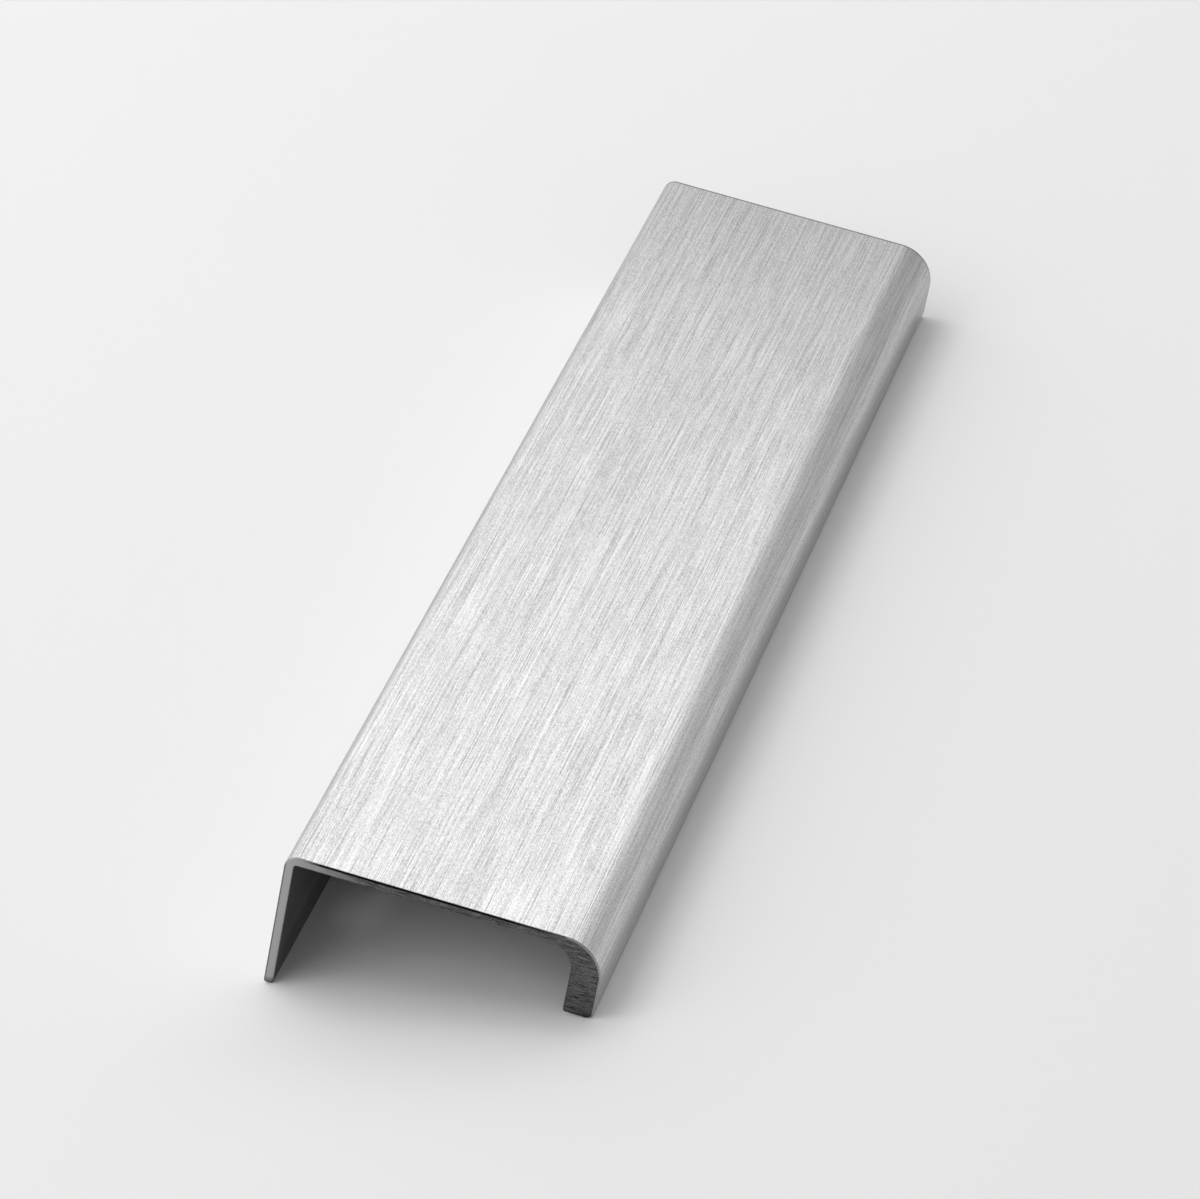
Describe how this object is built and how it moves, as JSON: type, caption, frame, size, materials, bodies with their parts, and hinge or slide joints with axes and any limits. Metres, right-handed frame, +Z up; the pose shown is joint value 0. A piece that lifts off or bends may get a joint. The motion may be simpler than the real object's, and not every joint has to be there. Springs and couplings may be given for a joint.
{
  "type": "finger pull profile",
  "caption": "Handleless finger pull: a length of aluminium extrusion with a thin screw-on back leg, a flat top plate and a thick rounded front lip for the fingers.",
  "frame": {"origin": "centre of the bounding box's bottom face, on the floor that the profile's two feet rest on", "axes": "+Y along the extrusion, from the end that the picture shows near to the far one; +X from the leg to the lip, level; +Z up from the floor. The plate slopes down towards the lip by about 12.0 degrees, as the profile lies unheld on its two feet."},
  "size_m": [0.0446, 0.2, 0.0192],
  "materials": {
    "brushed_aluminium": "brushed lengthwise and anodised in natural silver, with darker sawn ends"
  },
  "bodies": {
    "root": {"finger_pull_profile": "brushed_aluminium"}
  },
  "joints": []
}
